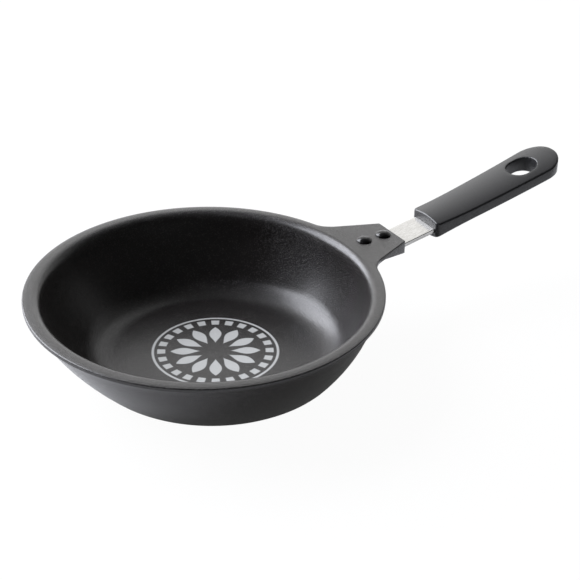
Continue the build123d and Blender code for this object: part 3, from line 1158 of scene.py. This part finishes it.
def floor_print(tree, where):
    """1 where the rosette is printed."""
    off = add(tree, "ShaderNodeVectorMath", {"operation": "SUBTRACT"}, _0=where, _1=PRINT_MIDDLE)
    flat = add(tree, "ShaderNodeVectorMath", TIMES, _0=off, _1=(1, 1, 0))
    length = add(tree, "ShaderNodeVectorMath", {"operation": "LENGTH"}, _0=flat)
    radius = length.outputs["Value"]
    turn = add(tree, "ShaderNodeTexGradient", {"gradient_type": "RADIAL"}, Vector=flat).outputs[1]
    low, high = LEAF_RADII
    along = add(tree, "ShaderNodeMapRange", Value=radius, _1=low, _2=high, _4=math.pi)
    swell = add(tree, "ShaderNodeMath", {"operation": "SINE"}, _0=along)
    width = add(tree, "ShaderNodeMath", TIMES, _0=swell, _1=LEAF_WIDTH / 2)
    marks = spokes(tree, turn, radius, LEAVES, width)
    bars = spokes(tree, turn, radius, BARS, BAR_WIDTH / 2)
    wreath = band(tree, radius, *BAR_RADII, PRINT_EDGE)
    bars = add(tree, "ShaderNodeMath", TIMES, _0=bars, _1=wreath)
    marks = add(tree, "ShaderNodeMath", LARGER, _0=marks, _1=bars)
    ring = band(tree, radius, *RING_RADII, PRINT_EDGE)
    marks = add(tree, "ShaderNodeMath", LARGER, _0=marks, _1=ring)
    height = add(tree, "ShaderNodeSeparateXYZ", Vector=where).outputs["Z"]
    on_floor = band(tree, height, *FLOOR_BAND, FLOOR_EDGE)
    return add(tree, "ShaderNodeMath", TIMES, _0=marks, _1=on_floor)


print("print of", LEAVES, "leaves and", BARS, "bars,", 2 * RING_RADII[1], "mm across")

# %% [markdown]
# ### Non-stick coating
#
# PTFE lacquer sprayed on grit-blasted cast aluminium and baked. It is near black and satin: the
# blasted metal below leaves a fine orange peel, and flakes of mica in the lacquer glint where they
# lie square to a lamp. Real flakes are about 0.1 mm and are drawn as coarse as a pixel. The print
# is a screen-printed coat of the same lacquer in light grey, so its gloss is the same. PTFE has an
# index of about 1.38, but the binder and the mica lift the lacquer's to 1.5.

# %% Coating
SPECK_SIZE = 0.6
SPECK_DEPTH = 0.1
PEEL_SIZE = 1.1
PEEL_DEPTH = 0.04
MICA_FROM = 0.8
BLACK_LACQUER = linear("#100D0D")
MICA = linear("#33302F")
PRINT_GREY = linear("#A7A8A7")

coat, tree = new_material("ptfe_non_stick_on_cast_aluminium")
where = millimetres(tree)
flakes = add(tree, "ShaderNodeTexVoronoi", Vector=where, Scale=1 / SPECK_SIZE)
flakes = add(tree, "ShaderNodeSeparateColor", Color=flakes.outputs["Color"]).outputs
mica = add(tree, "ShaderNodeMapRange", Value=flakes["Red"], _1=MICA_FROM, _2=1.0)
peel = add(tree, "ShaderNodeTexNoise", Vector=where, Scale=1 / PEEL_SIZE, Detail=1.0)
lacquer = add(tree, "ShaderNodeMix", RGBA, _0=mica, _6=BLACK_LACQUER, _7=MICA).outputs[2]
printed = floor_print(tree, where)
colour = add(tree, "ShaderNodeMix", RGBA, _0=printed, _6=lacquer, _7=PRINT_GREY).outputs[2]
waves = add(tree, "ShaderNodeBump", Height=peel, Distance=mm(PEEL_DEPTH), Strength=1.0)
flecks = {"Height": flakes["Green"], "Distance": mm(SPECK_DEPTH), "Strength": 1.0}
relief = add(tree, "ShaderNodeBump", Normal=waves, **flecks)
satin = {"Roughness": 0.3, "IOR": 1.5, "Normal": relief}
shader = add(tree, "ShaderNodeBsdfPrincipled", Base_Color=colour, **satin)
add(tree, "ShaderNodeOutputMaterial", Surface=shader)
print("coating: flakes", SPECK_SIZE, "mm, peel", PEEL_SIZE, "mm")

# %% [markdown]
# ### Polished stainless steel
#
# The strap is 18/10 strip, polished along its length on a mop. It mirrors the white backdrop,
# drawn out a little by scratches that all run lengthwise. An anisotropic shader would draw it out
# too, but the scratches themselves show, so they are a stretched noise.

# %% Strap
SCRATCH_STRETCH = (0.05, 1.6, 1.6)
SCRATCH_DEPTH = 0.004
TINT_RANGE = (0.35, 0.65)
STEEL_GLOSS = {"smooth": 0.12, "rough": 0.2}
STEEL_DARK = linear("#A9A8A5")
STEEL_LIGHT = linear("#BAB9B7")

steel, tree = new_material("polished_stainless_strip")
where = millimetres(tree)
drawn = add(tree, "ShaderNodeVectorMath", TIMES, _0=where, _1=SCRATCH_STRETCH)
scratch, gloss = grain_and_gloss(tree, drawn, size=1.0, detail=2.0, **STEEL_GLOSS)
grooves = add(tree, "ShaderNodeBump", Height=scratch, Distance=mm(SCRATCH_DEPTH), Strength=1.0)
low, high = TINT_RANGE
share = add(tree, "ShaderNodeMapRange", Value=scratch, _1=low, _2=high)
metal = add(tree, "ShaderNodeMix", RGBA, _0=share, _6=STEEL_DARK, _7=STEEL_LIGHT).outputs[2]
polished = {"Metallic": 1.0, "Roughness": gloss, "Normal": grooves}
shader = add(tree, "ShaderNodeBsdfPrincipled", Base_Color=metal, **polished)
add(tree, "ShaderNodeOutputMaterial", Surface=shader)
print("strap: scratches", SCRATCH_STRETCH[1] / SCRATCH_STRETCH[0], "times as long as wide")

# %% [markdown]
# ### Blackened rivets
#
# Aluminium rivets with a baked black enamel. The enamel flows out nearly smooth, with slow waves
# about a millimetre long, so the domes are the deepest and glossiest black on the pan.

# %% Rivets' finish
ENAMEL_WAVES = 1.2
ENAMEL_DEPTH = 0.02
ENAMEL_GLOSS = {"smooth": 0.18, "rough": 0.26}
ENAMEL_BLACK = linear("#060606")

rivet_black, tree = new_material("black_baked_enamel")
where = millimetres(tree)
waves, gloss = grain_and_gloss(tree, where, ENAMEL_WAVES, detail=1.0, **ENAMEL_GLOSS)
relief = add(tree, "ShaderNodeBump", Height=waves, Distance=mm(ENAMEL_DEPTH), Strength=1.0)
glossy = {"Roughness": gloss, "IOR": 1.4, "Normal": relief}
shader = add(tree, "ShaderNodeBsdfPrincipled", Base_Color=ENAMEL_BLACK, **glossy)
add(tree, "ShaderNodeOutputMaterial", Surface=shader)
print("rivets: enamel waves", ENAMEL_WAVES, "mm")

# %% [markdown]
# ### Moulded phenolic resin
#
# The grip comes out of a steel mould that was vapour-blasted, so it is a satin, slightly grainy
# black. The blast's own grain is about 0.1 mm and is drawn coarser, or it wouldn't show. Phenolic
# has an index of 1.6, but its filler of wood flour dulls the surface, which 1.5 matches.

# %% Grip's finish
MOULD_GRAIN = 0.8
MOULD_DEPTH = 0.012
MOULD_GLOSS = {"smooth": 0.36, "rough": 0.44}
RESIN_BLACK = linear("#151517")

phenolic, tree = new_material("moulded_phenolic_resin")
where = millimetres(tree)
grain, gloss = grain_and_gloss(tree, where, MOULD_GRAIN, detail=2.0, **MOULD_GLOSS)
relief = add(tree, "ShaderNodeBump", Height=grain, Distance=mm(MOULD_DEPTH), Strength=1.0)
satin = {"Roughness": gloss, "IOR": 1.5, "Normal": relief}
shader = add(tree, "ShaderNodeBsdfPrincipled", Base_Color=RESIN_BLACK, **satin)
add(tree, "ShaderNodeOutputMaterial", Surface=shader)
print("grip: grain", MOULD_GRAIN, "mm")

# %% [markdown]
# ### Zinc-plated screw
#
# A standard machine screw, barrel-plated: a greyish, slightly dull silver, seen only from below,
# down its counterbore. The plating's crystals are far finer than 0.4 mm and are drawn that coarse
# to show.

# %% Screw's finish
PLATE_GRAIN = 0.4
PLATE_GLOSS = {"smooth": 0.3, "rough": 0.42}
ZINC_DARK = linear("#A2A4A7")
ZINC_LIGHT = linear("#BCBEC0")

screw_steel, tree = new_material("zinc_plated_screw")
where = millimetres(tree)
grain, gloss = grain_and_gloss(tree, where, PLATE_GRAIN, detail=2.0, **PLATE_GLOSS)
zinc = add(tree, "ShaderNodeMix", RGBA, _0=grain, _6=ZINC_DARK, _7=ZINC_LIGHT).outputs[2]
dull = {"Metallic": 1.0, "Roughness": gloss}
shader = add(tree, "ShaderNodeBsdfPrincipled", Base_Color=zinc, **dull)
add(tree, "ShaderNodeOutputMaterial", Surface=shader)
print("screw: plating grain", PLATE_GRAIN, "mm")

# %% [markdown]
# ## Put it together
#
# The rivets' row is grown now that their finish exists. An empty object runs the tree, what it
# makes is kept as a plain mesh, and that is moved to the lug.

# %% Row of rivets
rivets = bpy.data.objects.new("rivet_pair", bpy.data.meshes.new("rivet_pair"))
scene.collection.objects.link(rivets)
modifier = rivets.modifiers.new("nodes", "NODES")
modifier.node_group = bpy.data.node_groups["rivet_row"]
modifier[sockets["Rivet"]] = rivet
modifier[sockets["Number"]] = len(RIVET_XS)
modifier[sockets["Pitch"]] = mm(RIVET_PITCH)
modifier[sockets["Finish"]] = rivet_black
rivets.data = evaluated_mesh(rivets)
rivets.modifiers.clear()
rivets.data.materials.pop(index=0)  # the turned rivet's own slot, which is empty
rivets.data.transform(Matrix.Translation(mm(RIVET_XS[0], 0, 0)))
rivets.data.set_sharp_from_angle(angle=math.radians(RIVET_SHARP))
bpy.data.objects.remove(rivet)
print("rivets", len(rivets.data.polygons), "faces,", open_edges(rivets.data), "open edges")

# %% [markdown]
# Every piece gets its material. The screw keeps its CAD mesh, which is fine enough for a small
# part down a hole, so only its material slots change.

# %% A finish for every piece
for piece, material in ((pan_piece, coat), (strap, steel), (grip, phenolic)):
    piece.data.materials.clear()
    piece.data.materials.append(material)
screw_mesh = nodes["grip_screw"].data
for i in range(len(screw_mesh.materials)):
    screw_mesh.materials[i] = screw_steel
for piece in (pan_piece, strap, rivets, grip):
    print(piece.name, "has", piece.data.materials[0].name)

# %% [markdown]
# Nothing on the pan moves against anything else, so every piece rides on the one body, the root.
# Each stands for its CAD node, which stays for collision.

# %% Ride and replace
for piece, node, slot in (
    (pan_piece, "pan_body", "coating"),
    (strap, "tang", "strap_steel"),
    (rivets, "rivets", "rivet_black"),
    (grip, "grip", "phenolic"),
):
    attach(piece, "root")
    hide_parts(node)
    print(piece.name, "stands for", node)
